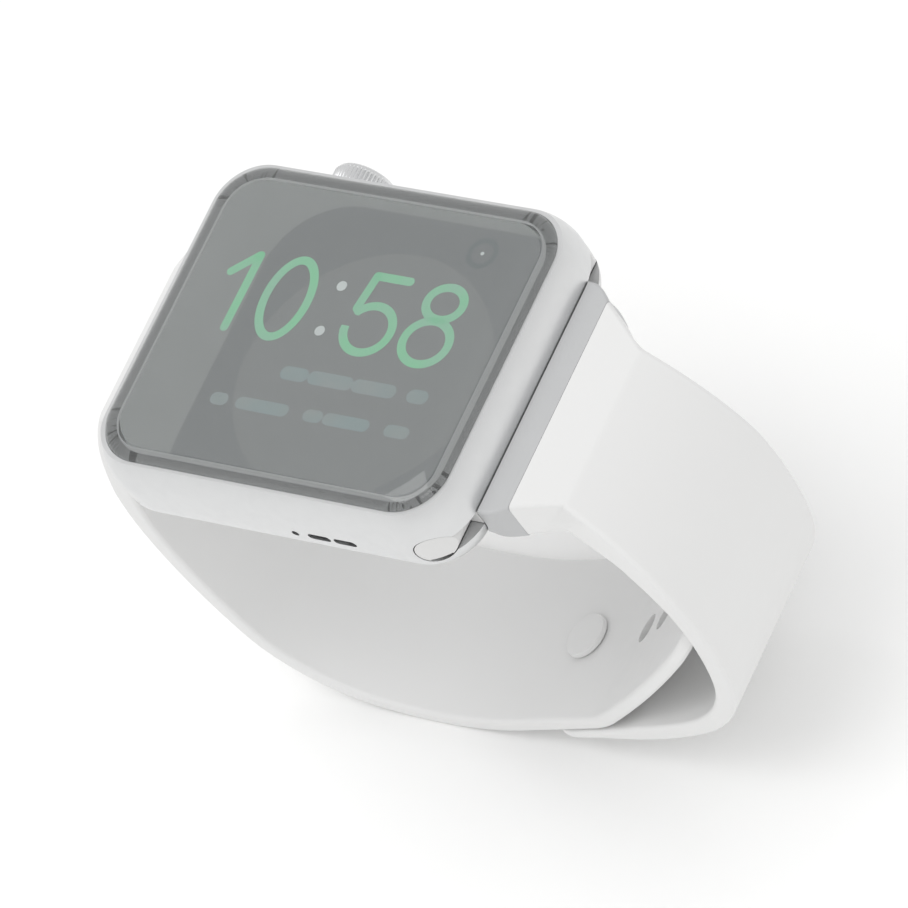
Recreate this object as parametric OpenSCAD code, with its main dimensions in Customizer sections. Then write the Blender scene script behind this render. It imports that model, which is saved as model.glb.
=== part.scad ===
// Square wrist watch with a closed elastomer strap loop.
// Origin at the middle of the back crystal's flat, +Z out of the display,
// +Y towards 12 o'clock, +X towards the crown at 3 o'clock.

/* [Case] */
// Length of the case from 12 to 6 o'clock
case_l = 42.5; // [42:0.5:44]
// Width of the case from 9 to 3 o'clock, without the crown
case_w = 36.4; // [36:0.2:38]
// Plan radius of the case corners
case_r = 6.0; // [5.6:0.1:6.4]
// Height of the case's flat back above the crystal's outermost face
back_z = 1.0; // [0.8:0.1:1.0]
// Height of the seam between case and cover glass
seam_z = 9.9; // [9.9:0.1:10.4]

/* [Cover glass] */
// Length of the glass at the seam
glass_l = 39.6; // [39.2:0.1:39.6]
// Width of the glass at the seam
glass_w = 33.7; // [33.3:0.1:33.7]
// Rise of the curved glass above the seam
glass_rise = 1.4; // [1:0.1:1.8]

/* [Crown and side button] */
// Distance of the crown from the case's middle, towards 12 o'clock
crown_y = 8.0; // [7.6:0.1:8.4]
// Radius of the crown over its knurl
crown_r = 3.25; // [3:0.05:3.3]
// Number of knurl teeth
crown_teeth = 48; // [36:2:60]
// Height of the crown's and the button's middle
key_z = 5.3; // [5.1:0.1:5.4]
// Distance of the side button from the case's middle, towards 6 o'clock
button_y = 7.5; // [7.3:0.1:7.7]
// Length of the side button
button_l = 10.5; // [9:0.5:11]

/* [Strap] */
// Width of the strap at the bottom of the loop
strap_w = 20; // [19:0.5:21]
// Width of the strap just below the case
neck_w = 17.8; // [17:0.2:19]
// Width of the shoulder bar where the strap meets the case
shoulder_w = 26; // [24:0.5:26]
// Width of the tail that tucks inside
tail_w = 19.4; // [18:0.2:20]
// Distance between adjustment holes
hole_pitch = 5.6; // [5:0.1:6]
// Number of spare adjustment holes towards the tip
spare_holes = 5; // [0:1:5]

/* [Hidden] */
$fn = 64;

silver = "#dfe1e2";
ivory = "#ecebe8";
grey = "#c9cacb";
dark = "#2c2e31";
steel = "#b9bcc0";
copper = "#b87845";
board_green = "#1f4a38";

over = 0.5;            // how far a cut runs past the face it opens
hull_fn = 32;          // facets round one corner's revolve inside a hull

// Case side: widest at mid_z, drawn in towards the seam and the back
mid_z = 5.5;
top_inset = 1.0;
top_power = 2.2;
back_inset = 1.2;
back_power = 4;
case_levels = [back_z, 1.3, 1.8, 2.5, 3.4, 4.5, mid_z, 7.2, 8.2, 9.0, seam_z];

// Ledges and cavities inside the case
floor_z = 1.9;
rebate_z = 9.1;
upper_floor_z = 7.6;
rebate_gap = 0.05;
cavity_l = 31.2;
cavity_w = 31.6;
cavity_r = 6.0;
upper_l = 37.0;
upper_w = 31.0;
upper_r = 4.0;
back_hole_r = 14.15;

// Cover glass and display stack
glass_r = 4.95;
skirt_z = 9.3;
pocket_z = 9.75;
panel_l = 35.6;
panel_w = 29.6;
panel_r = 3.4;
panel_z = 9.15;
backplate_z = 8.95;

// Boards and battery
board_z = 6.95;
board_t = 0.5;
battery_z = 3.2;
boss_x = 12.6;
boss_y = 12.2;
boss_r = 1.1;
screw_r = 0.5;

// Strap slot: a round channel with a narrower mouth, along X at each end
slot_y = 18.2;
slot_z = 4.6;
slot_r = 1.9;
mouth_lo = 3.35;
mouth_hi = 5.45;
slide_gap = 0.1;

// Crown parts, along X
recess_x = 17.1;
recess_r = 3.6;
crown_x = 17.5;
crown_t = 2.3;
wall_x = 15.8;
shaft_r = 0.88;
shaft_x = 13.65;
bush_bore = 0.95;

// Side button
button_h = 2.7;
button_x = 17.0;
button_out = 1.5;
button_travel = 0.25;
speaker_slots = [-8.1, -5.1];

// Release buttons and detent pins
head_r = 1.42;
head_t = 0.45;
stem_r = 0.72;
stem_top = 2.62;
step_z = 1.9;
detent_r = 0.68;
detent_z = 2.74;
detent_t = 1.68;
detent_tip = 0.15;      // height of the tapered tip

// Strap profiles, walked clockwise from the case end over the outer surface:
// [radius, angle] is an arc, [0, length] a straight
strap_start = [19.4, 5.87];
strap_heading = -8;
strap_6_segs = [[0, 1.6], [9.5, 46], [33.7, 36], [45, 14], [19, 46], [50, 14], [0, 11.7]];
strap_12_segs = [[0, 1.6], [9.5, 46], [33.2, 20], [47, 16], [75, 14], [15, 64], [33, 33],
  [0, 11.2], [10, 22], [180, 9]];
lap_seg = 7;           // the straight stretch where the two straps lie together
// Thickness along the outer surface, as [distance, thickness]
strap_6_thick = [[0, 3.9], [8, 4.2], [14, 3.8], [20, 2.9], [26, 2.3], [34, 2.2],
  [65, 2.2], [69, 1.6], [72, 1.15], [80.5, 0.5]];
strap_12_thick = [[0, 3.9], [8, 4.2], [14, 3.8], [20, 2.9], [26, 2.3], [34, 2.1],
  [95, 2.0], [105, 1.7], [133, 1.5]];
arc_step = 6;

// Fastening stud
stud_back = 5.0;       // from the lap's far end, along the outer surface
stud_post_r = 1.5;
stud_head_r = 2.7;
stud_gap = 0.1;
flange_at = 0.45;       // above the tail's outer surface
button_at = -2.1;

function inset(z) = z > mid_z
  ? top_inset * pow((z - mid_z) / (seam_z - mid_z), top_power)
  : back_inset * pow((mid_z - z) / (mid_z - back_z), back_power);
function seg_len(s) = s[0] == 0 ? s[1] : s[0] * s[1] * PI / 180;
// One point of a segment, t from 0 to 1: [x, z, heading, distance]
function on_seg(s, q, t) = s[0] == 0
  ? [q[0] + t * s[1] * cos(q[2]), q[1] + t * s[1] * sin(q[2]), q[2], q[3] + t * s[1]]
  : [q[0] + s[0] * (sin(q[2]) - sin(q[2] - t * s[1])),
     q[1] + s[0] * (cos(q[2] - t * s[1]) - cos(q[2])),
     q[2] - t * s[1], q[3] + t * seg_len(s)];
function steps(s) = s[0] == 0 ? ceil(s[1] / 4) : ceil(max(s[1] / arc_step, seg_len(s) / 4));
function walk(segs, q, i = 0) = i == len(segs) ? []
  : concat([for (k = [1:steps(segs[i])]) on_seg(segs[i], q, k / steps(segs[i]))],
           walk(segs, on_seg(segs[i], q, 1), i + 1));
function path(segs) = let (q = [strap_start[0], strap_start[1], strap_heading, 0])
  concat([q], walk(segs, q));
function inner(q, thick) = let (t = lookup(q[3], thick))
  [q[0] + t * sin(q[2]), q[1] - t * cos(q[2])];
function strip(segs, thick) = let (p = path(segs), n = len(p))
  concat([for (q = p) [q[0], q[1]]], [for (i = [1:n]) inner(p[n - i], thick)]);
// End state of the first n segments, and the path's length up to there
function state(segs, n) = let (q = [strap_start[0], strap_start[1], strap_heading, 0])
  state_from(segs, n, q);
function state_from(segs, n, q, i = 0) = i == n ? q
  : state_from(segs, n, on_seg(segs[i], q, 1), i + 1);

// 2D rectangle with round corners, length along Y
module round_rect(l, w, r) {
  square([w - 2 * r, l], center = true);
  square([w, l - 2 * r], center = true);
  for (x = [-1, 1], y = [-1, 1]) translate([x * (w / 2 - r), y * (l / 2 - r)]) circle(r);
}

module slab(l, w, r, z0, z1) {
  translate([0, 0, z0]) linear_extrude(z1 - z0) round_rect(l, w, r);
}

module block(x0, x1, y0, y1, z0, z1) {
  translate([x0, y0, z0]) cube([x1 - x0, y1 - y0, z1 - z0]);
}

// Ring or disc about Z
module ring(r_in, r_out, z0, z1) {
  translate([0, 0, z0]) difference() {
    cylinder(h = z1 - z0, r = r_out);
    if (r_in > 0) translate([0, 0, -over]) cylinder(h = z1 - z0 + 2 * over, r = r_in);
  }
}

// Rod along X from x0 to x1 at height z and depth y
module rod(x0, x1, y, z, r) {
  translate([x0, y, z]) rotate([0, 90, 0]) cylinder(h = x1 - x0, r = r);
}

// Profile in Y and Z, extruded along X and centred
module across(w) {
  translate([-w / 2, 0, 0]) rotate([90, 0, 90]) linear_extrude(w) children();
}

// Plate in Y and Z with round ends, from x0 to x1
module stadium(x0, x1, y, z, l, h) {
  translate([x0, y, z]) rotate([90, 0, 90]) linear_extrude(x1 - x0) {
    square([l - h, h], center = true);
    for (s = [-1, 1]) translate([s * (l - h) / 2, 0]) circle(h / 2);
  }
}

// The case's outer form, grown by g all round
module case_form(g = 0) {
  lo = back_z - g;
  hi = seam_z + g;
  hull() for (x = [-1, 1], y = [-1, 1])
    translate([x * (case_w / 2 - case_r), y * (case_l / 2 - case_r), 0])
      rotate_extrude($fn = hull_fn)
        polygon(concat([[0, lo]],
          [for (z = case_levels) [case_r - inset(z) + g,
            z == back_z ? lo : z == seam_z ? hi : z]],
          [[0, hi]]));
}

module case() {
  color(silver) difference() {
    union() {
      difference() {
        case_form();
        slab(glass_l + 2 * rebate_gap, glass_w + 2 * rebate_gap, glass_r, rebate_z, seam_z + over);
        slab(upper_l, upper_w, upper_r, upper_floor_z, rebate_z + over);
        slab(cavity_l, cavity_w, cavity_r, floor_z, upper_floor_z + over);
        ring(0, back_hole_r, back_z - over, floor_z + over);
      }
      for (x = [-1, 1], y = [-1, 1]) translate([x * boss_x, y * boss_y, 0])
        ring(0, boss_r, floor_z - over / 2, board_z);
    }
    for (x = [-1, 1], y = [-1, 1]) translate([x * boss_x, y * boss_y, 0])
      ring(0, screw_r, 4.3, board_z + over);
    // Strap slots with their release button holes
    for (s = [-1, 1]) {
      rod(-case_w / 2 - over, case_w / 2 + over, s * slot_y, slot_z, slot_r);
      translate([0, s * (slot_y + 2.5), (mouth_lo + mouth_hi) / 2])
        cube([case_w + 2 * over, 5, mouth_hi - mouth_lo], center = true);
      translate([0, s * slot_y, 0]) {
        ring(0, head_r + 0.08, back_z - over, step_z);
        ring(0, stem_r + 0.06, step_z - over, slot_z);
      }
    }
    // Crown recess and bush bore
    rod(recess_x, case_w / 2 + over, crown_y, key_z, recess_r);
    rod(wall_x - over, recess_x + over, crown_y, key_z, 1.6);
    // Side button pocket and its stem hole
    stadium(button_x - button_travel - 0.05, case_w / 2 + over, -button_y, key_z,
      button_l + 0.3, button_h + 0.3);
    rod(wall_x - over, button_x, -button_y, key_z, 0.78);
    // Speaker slots and microphone hole on the 9 o'clock side
    for (y = speaker_slots) stadium(-case_w / 2 - over, 0.5 - wall_x, y, 4.2, 2.6, 0.9);
    rod(-case_w / 2 - over, 0.5 - wall_x, -2.3, 4.2, 0.4);
  }
}

module case_back() {
  color(dark) rotate_extrude() polygon([[9.6, 0.56], [12, 0.82], [14.1, back_z],
    [14.1, 2.0], [15.2, 2.0], [15.2, 2.2], [10.4, 2.2], [10.4, 1.5], [9.6, 1.5]]);
}

module back_seal() {
  color("black") ring(14.3, 15.1, floor_z, 2.0);
}

module sensor_crystal() {
  color("#30343a") rotate_extrude() polygon([[0, 0], [4, 0], [6, 0.12], [8, 0.33],
    [9.5, 0.55], [9.5, 1.5], [10.3, 1.5], [10.3, 1.9], [8.4, 1.9], [8.4, 1.1], [0, 1.1]]);
}

module sensor_board() {
  color(board_green) ring(0, 9.0, 1.9, 2.4);
}

// Four windows of emitters and receivers under the crystal
module sensor_leds() {
  color("#7fd39a") for (a = [0:90:270]) rotate([0, 0, a]) {
    block(3.4, 5.6, -1.1, 1.1, 1.4, 1.9);
    rotate([0, 0, 45]) block(3.6, 5.0, -0.7, 0.7, 1.5, 1.9);
  }
}

module charging_coil() {
  color(copper) ring(10.6, 13.6, 2.2, 2.7);
}

module coil_shield() {
  color("#4a4744") ring(10.6, 13.6, 2.7, 2.95);
}

module alignment_magnet() {
  color("#9aa0a6") ring(0, 3.5, 2.4, battery_z);
}

// Ribbon from the sensor board over the coil and up to the logic board
module sensor_cable() {
  color("#b5752c") {
    block(7, 12.2, -3, 0, 2.95, 3.05);
    block(12.1, 12.2, -3, 0, 3.05, board_z);
    block(7, 7.6, -3, 0, 2.4, 2.95);
  }
}

module battery() {
  color("#3b3d40") block(-9.6, 11.4, -14.6, 14.6, battery_z, board_z);
}

// Vibration motor: closed box on the 9 o'clock side
motor = [[-15.0, -1.1, 3.3], [-10.2, 10.7, 6.8]];
motor_wall = 0.3;

module haptic_housing() {
  color(steel) difference() {
    block(motor[0].x, motor[1].x, motor[0].y, motor[1].y, motor[0].z, motor[1].z);
    block(motor[0].x + motor_wall, motor[1].x - motor_wall, motor[0].y + motor_wall,
      motor[1].y - motor_wall, motor[0].z + motor_wall, motor[1].z - motor_wall);
  }
}

module haptic_coil() {
  color(copper) block(motor[0].x + 0.6, motor[1].x - 0.6, motor[0].y + 2.5,
    motor[1].y - 2.5, motor[1].z - 0.55, motor[1].z - motor_wall);
}

// A blade and its foot at each end of the motor's travel
module haptic_springs() {
  mid_x = (motor[0].x + motor[1].x) / 2;
  color("#8d9094") for (s = [0, 1]) {
    foot = s == 0 ? motor[0].y + motor_wall : motor[1].y - motor_wall - 0.9;
    blade = s == 0 ? foot + 0.9 : foot - 0.15;
    block(mid_x - 0.4, mid_x + 0.4, foot, foot + 0.9, 4.4, 5.4);
    block(mid_x - 1.7, mid_x + 1.7, blade, blade + 0.15, 3.9, 5.9);
  }
}

module haptic_mass() {
  color("#6f7276") block(motor[0].x + 0.5, motor[1].x - 0.5, motor[0].y + 2.0,
    motor[1].y - 2.0, motor[0].z + 0.45, motor[1].z - 0.75);
}

module speaker() {
  color("#242629") block(-15.2, -10.4, -10.9, -3.7, 3.0, 6.6);
}

module speaker_mesh() {
  color("#55585c") block(-wall_x, -15.2, -9.6, -3.7, 3.3, 5.4);
}

module microphone() {
  color("#c9c3a2") block(-wall_x, -13.8, -3.3, -1.3, 3.4, 5.0);
}

module logic_board() {
  color(board_green) difference() {
    slab(28.8, 30, 5, board_z, board_z + board_t);
    for (x = [-1, 1], y = [-1, 1]) translate([x * boss_x, y * boss_y, 0])
      ring(0, 0.55, board_z - over, board_z + board_t + over);
  }
}

module system_package() {
  color("#1d1f22") block(-11, 11, -11, 11, board_z + board_t, 8.25);
}

module board_screws() {
  color(steel) for (x = [-1, 1], y = [-1, 1]) translate([x * boss_x, y * boss_y, 0])
    difference() {
      union() {
        ring(0, screw_r, 4.5, board_z + board_t + 0.1);
        ring(0, 0.9, board_z + board_t, 7.8);
      }
      translate([0, 0, 7.75]) cube([1.2, 0.25, 0.3], center = true);
    }
}

module display_cable() {
  color("#b5752c") block(-3, 3, 13.4, 13.5, board_z + board_t, backplate_z);
}

module display_backplate() {
  color(steel) slab(34.6, 28.6, 3.0, backplate_z, panel_z);
}

module display_panel() {
  color("#202224") slab(panel_l, panel_w, panel_r, panel_z, pocket_z);
}

module display_gasket() {
  color("black") difference() {
    slab(glass_l, glass_w, glass_r, rebate_z, skirt_z);
    slab(upper_l, upper_w, upper_r, rebate_z - over, skirt_z + over);
  }
}

// Glass with a curved edge: [height, inset] from the seam to the flat top
glass_levels = [for (a = [0:15:90]) [seam_z + glass_rise * sin(a), 4.2 * (1 - cos(a))]];

module cover_glass() {
  color("#8c8f90") difference() {
    hull() for (x = [-1, 1], y = [-1, 1])
      translate([x * (glass_w / 2 - glass_r), y * (glass_l / 2 - glass_r), 0])
        rotate_extrude($fn = hull_fn)
          polygon(concat([[0, skirt_z], [glass_r, skirt_z]],
            [for (p = glass_levels) [glass_r - p[1], p[0]]],
            [[0, seam_z + glass_rise]]));
    slab(upper_l - 0.6, upper_w - 0.6, upper_r - 0.3, skirt_z - over, pocket_z);
  }
}

module at_crown() {
  translate([0, crown_y, key_z]) rotate([0, 90, 0]) children();
}

module crown_bush() {
  color(steel) at_crown() difference() {
    union() {
      ring(0, 1.6, wall_x, recess_x);
      ring(0, 2.2, 15.3, wall_x);
    }
    ring(0, bush_bore, 15, recess_x + over);
    ring(0, 1.35, recess_x - 0.6, recess_x + over);
  }
}

module crown_seal() {
  color("black") at_crown() translate([0, 0, recess_x - 0.3])
    rotate_extrude() translate([1.15, 0]) circle(0.17, $fn = 24);
}

module crown_switch() {
  color(dark) block(12.5, 13.2, crown_y - 1.8, crown_y + 1.8, 4.0, 6.6);
}

// Thrust washer that carries the crown's push but doesn't turn
module crown_collar() {
  color(steel) at_crown() ring(0.93, 1.6, 13.9, 14.25);
}

module crown_shaft() {
  color(steel) at_crown() ring(0, shaft_r, shaft_x, crown_x);
}

module crown_encoder() {
  color("#3a3c40") at_crown() ring(shaft_r, 1.6, 14.35, 14.8);
}

// Knurled knob between two plain rims
module crown() {
  tooth = 360 / crown_teeth;
  rim = 0.4;
  depth = 0.18;
  color(silver) at_crown() translate([0, 0, crown_x]) {
    cylinder(h = rim, r = crown_r - depth);
    translate([0, 0, rim]) linear_extrude(crown_t - 2 * rim)
      polygon([for (i = [0:crown_teeth - 1]) each [
        for (k = [[0, 0], [0.5, 0], [0.65, 1], [0.85, 1]])
          (crown_r - depth * k[1]) * [cos((i + k[0]) * tooth), sin((i + k[0]) * tooth)]]]);
    translate([0, 0, crown_t - rim]) cylinder(h = rim, r1 = crown_r - depth, r2 = crown_r - 0.35);
  }
}

module crown_cap() {
  color(silver) at_crown() translate([0, 0, crown_x + crown_t]) rotate_extrude()
    polygon([[0, 0], [2.45, 0], [2.3, 0.08], [1.2, 0.14], [0, 0.16]]);
}

module side_button() {
  color(silver) union() {
    stadium(button_x, button_x + button_out, -button_y, key_z, button_l, button_h);
    rod(14.7, button_x, -button_y, key_z, 0.7);
  }
}

module side_button_clip() {
  color(steel) translate([0, -button_y, key_z]) rotate([0, 90, 0]) ring(0.7, 1.3, 15.15, 15.45);
}

module side_button_bracket() {
  color(steel) block(13.3, 13.6, -10.8, -3.6, 3.4, 6.9);
}

module side_button_switch() {
  color(dark) block(13.6, 14.4, -9, -6, 4.3, 6.3);
}

module release_button(s) {
  color(silver) translate([0, s * slot_y, 0]) {
    ring(0, head_r, back_z, back_z + head_t);
    ring(0, stem_r, back_z + head_t, stem_top);
  }
}

module release_spring(s) {
  color(steel) translate([0, s * slot_y, 0])
    ring(stem_r, head_r - 0.15, back_z + head_t, back_z + head_t + 0.1);
}

module release_button_12() { release_button(1); }
module release_button_6() { release_button(-1); }
module release_spring_12() { release_spring(1); }
module release_spring_6() { release_spring(-1); }

module detent_pin(s) {
  color(steel) translate([0, s * slot_y, detent_z]) {
    ring(0, detent_r, detent_tip, detent_t);
    cylinder(h = detent_tip, r1 = 0.25, r2 = detent_r);
  }
}

module detent_pin_12() { detent_pin(1); }
module detent_pin_6() { detent_pin(-1); }

// The shoulder bar ends at bar_y; a tongue runs on into the strap
bar_y = 23.8;
neck_gap = 0.1;

module tongue() {
  block(-7, 7, bar_y - 0.8, bar_y + 1.6, 1.6, 2.6);
}

// Plan outline that lets the shoulder run in to the strap's width
module shoulder_plan() {
  run = 5.2;
  start_y = 21.8;
  wide = shoulder_w / 2;
  narrow = neck_w / 2;
  edge = [for (t = [0:0.125:1])
    [narrow + (wide - narrow) * (1 + cos(180 * t)) / 2, start_y + run * t]];
  translate([0, 0, -8]) linear_extrude(16)
    polygon(concat([[-wide, 17], [wide, 17]], edge,
      [for (i = [1:len(edge)]) [-edge[len(edge) - i].x, edge[len(edge) - i].y]]));
}

// Round bead that slides in the slot, the neck through the mouth, and a bar outside
// the case that has the strap's thickness
module lug_connector() {
  color(grey) union() {
    difference() {
      intersection() {
        case_form(-0.05);
        union() {
          rod(-case_w / 2, case_w / 2, slot_y, slot_z, slot_r - slide_gap);
          block(-shoulder_w / 2, shoulder_w / 2, slot_y, case_l / 2,
            mouth_lo + neck_gap, mouth_hi - neck_gap);
        }
      }
      block(-case_w / 2, case_w / 2, slot_y - 1, slot_y + 1, 2, 3.25);
      translate([0, slot_y, 0]) ring(0, detent_r + 0.07, 3, 5.2);
    }
    block(-11, 11, slot_y + 1.5, bar_y - 0.5, mouth_lo + neck_gap, mouth_hi - 0.6);
    difference() {
      intersection() {
        across(shoulder_w) polygon(strip(strap_6_segs, strap_6_thick));
        shoulder_plan();
        block(-shoulder_w / 2, shoulder_w / 2, slot_y, bar_y, -5, 8);
      }
      case_form(slide_gap);
    }
    tongue();
  }
}

module lug_connector_12() { lug_connector(); }
module lug_connector_6() { mirror([0, 1, 0]) lug_connector(); }

// Sides of a strap that widens from neck_w to w as it goes down
module side_taper(w) {
  rotate([90, 0, 0]) linear_extrude(90, center = true)
    polygon([for (p = [[-neck_w, 8], [-neck_w, 3], [-w, -13], [-w, -60],
      [w, -60], [w, -13], [neck_w, 3], [neck_w, 8]]) [p.x / 2, p.y]]);
}

module strap_solid(segs, thick, w) {
  difference() {
    union() {
      intersection() {
        across(w) polygon(strip(segs, thick));
        side_taper(w);
      }
      intersection() {
        across(shoulder_w) polygon(strip(segs, thick));
        shoulder_plan();
      }
    }
    block(-shoulder_w, shoulder_w, 0, bar_y, -9, 9);
    tongue();
  }
}

// Frame on the 12 o'clock strap's outer surface, at the straight stretch:
// local +Z points out of the loop
stud_state = state(strap_12_segs, lap_seg + 1);

module on_tail() {
  h = stud_state[2];
  translate([0, stud_state[0] - stud_back * cos(h), stud_state[1] - stud_back * sin(h)])
    rotate([h, 0, 0]) children();
}

module strap_12() {
  color(ivory) difference() {
    strap_solid(strap_12_segs, strap_12_thick, tail_w);
    on_tail() ring(0, stud_post_r + stud_gap, -4, 4);
    // Spare holes follow the tail's last arc
    last = len(strap_12_segs) - 1;
    arc = strap_12_segs[last];
    for (i = [1:spare_holes]) {
      q = on_seg(arc, state(strap_12_segs, last), (i - 0.6) * hole_pitch / seg_len(arc));
      translate([0, q[0], q[1]]) rotate([q[2], 0, 0]) ring(0, stud_post_r + stud_gap, -4, 4);
    }
  }
}

module strap_6() {
  color(ivory) difference() {
    mirror([0, 1, 0]) strap_solid(strap_6_segs, strap_6_thick, strap_w);
    on_tail() ring(0, stud_post_r, -0.5, 3);
    on_tail() ring(0, stud_head_r, flange_at, 3);
  }
}

// Metal stud: flange in the outer strap, post through both, button inside
module fastening_stud() {
  color(steel) on_tail() {
    ring(0, stud_head_r, flange_at, flange_at + 0.4);
    ring(0, stud_post_r, button_at, flange_at);
    ring(0, stud_head_r - 0.2, button_at - 0.7, button_at);
  }
}

case();
case_back();
back_seal();
sensor_crystal();
sensor_board();
sensor_leds();
charging_coil();
coil_shield();
alignment_magnet();
sensor_cable();
battery();
haptic_housing();
haptic_coil();
haptic_springs();
haptic_mass();
speaker();
speaker_mesh();
microphone();
logic_board();
system_package();
board_screws();
display_cable();
display_backplate();
display_panel();
display_gasket();
cover_glass();
crown_bush();
crown_seal();
crown_switch();
crown_collar();
crown_shaft();
crown_encoder();
crown();
crown_cap();
side_button();
side_button_clip();
side_button_bracket();
side_button_switch();
release_button_12();
release_spring_12();
release_button_6();
release_spring_6();
detent_pin_12();
detent_pin_6();
lug_connector_12();
lug_connector_6();
strap_12();
strap_6();
fastening_stud();
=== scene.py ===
import bmesh
import bpy
from math import cos, pi, radians, sin
from mathutils import Matrix, Vector


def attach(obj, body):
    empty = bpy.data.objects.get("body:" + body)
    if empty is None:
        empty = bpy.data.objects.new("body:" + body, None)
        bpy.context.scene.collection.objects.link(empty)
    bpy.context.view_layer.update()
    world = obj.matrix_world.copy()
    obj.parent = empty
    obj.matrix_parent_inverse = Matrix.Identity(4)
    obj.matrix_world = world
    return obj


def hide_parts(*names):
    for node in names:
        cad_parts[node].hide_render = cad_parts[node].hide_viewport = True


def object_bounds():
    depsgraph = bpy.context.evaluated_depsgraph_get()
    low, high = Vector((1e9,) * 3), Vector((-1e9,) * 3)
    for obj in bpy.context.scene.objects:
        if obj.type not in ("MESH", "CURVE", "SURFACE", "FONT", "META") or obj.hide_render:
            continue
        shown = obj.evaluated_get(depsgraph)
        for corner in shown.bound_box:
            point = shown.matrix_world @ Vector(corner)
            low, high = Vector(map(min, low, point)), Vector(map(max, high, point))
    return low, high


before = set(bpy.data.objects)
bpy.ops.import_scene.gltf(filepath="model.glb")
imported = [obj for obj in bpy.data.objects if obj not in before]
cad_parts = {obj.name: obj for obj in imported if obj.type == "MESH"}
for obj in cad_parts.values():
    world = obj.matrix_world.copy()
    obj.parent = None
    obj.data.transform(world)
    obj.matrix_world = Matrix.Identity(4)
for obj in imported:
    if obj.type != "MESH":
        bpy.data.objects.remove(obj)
cad_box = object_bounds()

# ---------------------------------------------------------------- viewpoint
# A long lens looks down on the 6 o'clock end, rolled so that the watch stands
# turned on its side, the way it is read as a bedside clock.
MM = 0.001
view_target = Vector((2.27, -0.94, -14.61)) * MM
view_distance = 838.4 * MM
view_azimuth = radians(-33.147)
view_elevation = radians(48.256)
view_roll = radians(38.065)

toward_eye = Vector((sin(view_azimuth) * cos(view_elevation),
                     -cos(view_azimuth) * cos(view_elevation), sin(view_elevation)))
level = (-toward_eye).to_track_quat("-Z", "Y").to_matrix()
eye = bpy.data.objects.new("eye", bpy.data.cameras.new("eye"))
eye.matrix_world = (Matrix.Translation(view_target + toward_eye * view_distance)
                    @ (level @ Matrix.Rotation(-view_roll, 3, "Z")).to_4x4())
eye.data.sensor_width = 36
eye.data.lens = 343
eye.data.clip_start = 0.01
bpy.context.scene.collection.objects.link(eye)
bpy.context.scene.camera = eye

# ---------------------------------------------------------------- case
# Machined from one aluminium block: a pillow-sided ring, fine bead-blasted and
# anodised silver, with a through slot for a strap at each end and a round
# recess for the crown.
case_l, case_w, case_r = 42.5, 36.4, 6.0
back_z, mid_z, seam_z = 1.0, 5.5, 9.9
slot_y, slot_z, slot_r = 18.2, 4.6, 1.9
mouth_lo, mouth_hi = 3.35, 5.45
key_z, crown_y, button_y = 5.3, 8.0, -7.5
glass_l, glass_w, glass_r = 39.6, 33.7, 4.95
corner_steps = 18


def case_inset(z):
    """How far the case side is drawn in from its widest line at height z."""
    if z > mid_z:
        return 1.0 * ((z - mid_z) / (seam_z - mid_z)) ** 2.2
    return 1.2 * ((mid_z - z) / (mid_z - back_z)) ** 4


def round_plate(bm, length, width, radius, z, steps=corner_steps):
    """One face with round corners, length along Y, facing up at height z."""
    face = bmesh.ops.create_grid(bm, x_segments=1, y_segments=1, size=0.5)["verts"]
    bmesh.ops.scale(bm, verts=face, vec=(width, length, 1))
    bmesh.ops.translate(bm, verts=face, vec=(0, 0, z))
    cut = bmesh.ops.bevel(bm, geom=face, offset=radius, offset_type="OFFSET", segments=steps,
                          profile=0.5, affect="VERTICES", material=-1, clamp_overlap=False)
    verts = cut["verts"]
    return next(f for f in verts[0].link_faces if len(f.verts) >= 4 * steps)


def draw_in(bm, face, thickness, depth):
    """Steps the face in by thickness and along its normal by depth."""
    bmesh.ops.inset_region(bm, faces=[face], thickness=thickness, depth=depth,
                           use_even_offset=True, use_boundary=True)


def pillow(bm, grow=0.0, levels=22):
    """The case's closed outer form, grown all round."""
    for side in (1, -1):
        end_z = seam_z if side > 0 else back_z
        span = abs(end_z - mid_z)
        face = round_plate(bm, case_l + 2 * grow, case_w + 2 * grow, case_r + grow, mid_z)
        if side < 0:
            bmesh.ops.reverse_faces(bm, faces=[face])
        drawn = 0.0
        height = 0.0
        for i in range(1, levels + 1):
            t = sin(i / levels * pi / 2)
            now = case_inset(mid_z + side * span * t)
            reach = (span + grow) * t
            draw_in(bm, face, max(now - drawn, 1e-4), reach - height)
            drawn, height = now, reach
    bmesh.ops.remove_doubles(bm, verts=bm.verts, dist=1e-4)


def rod_x(bm, x0, x1, y, z, radius, radius2=None, segments=48):
    """Closed round bar along X."""
    made = bmesh.ops.create_cone(bm, cap_ends=True, segments=segments, radius1=radius,
                                 radius2=radius if radius2 is None else radius2, depth=x1 - x0)
    turn = Matrix.Translation(((x0 + x1) / 2, y, z)) @ Matrix.Rotation(pi / 2, 4, "Y")
    bmesh.ops.transform(bm, matrix=turn, verts=made["verts"])


def rod_z(bm, x, y, z0, z1, radius, radius2=None, segments=48):
    """Closed round bar along Z."""
    made = bmesh.ops.create_cone(bm, cap_ends=True, segments=segments, radius1=radius,
                                 radius2=radius if radius2 is None else radius2, depth=z1 - z0)
    bmesh.ops.translate(bm, verts=made["verts"], vec=(x, y, (z0 + z1) / 2))


def box(bm, low, high):
    """Closed block between two corners."""
    made = bmesh.ops.create_cube(bm, size=1)["verts"]
    size = [b - a for a, b in zip(low, high)]
    bmesh.ops.scale(bm, verts=made, vec=size)
    bmesh.ops.translate(bm, verts=made, vec=[(a + b) / 2 for a, b in zip(low, high)])
    return made


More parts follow.
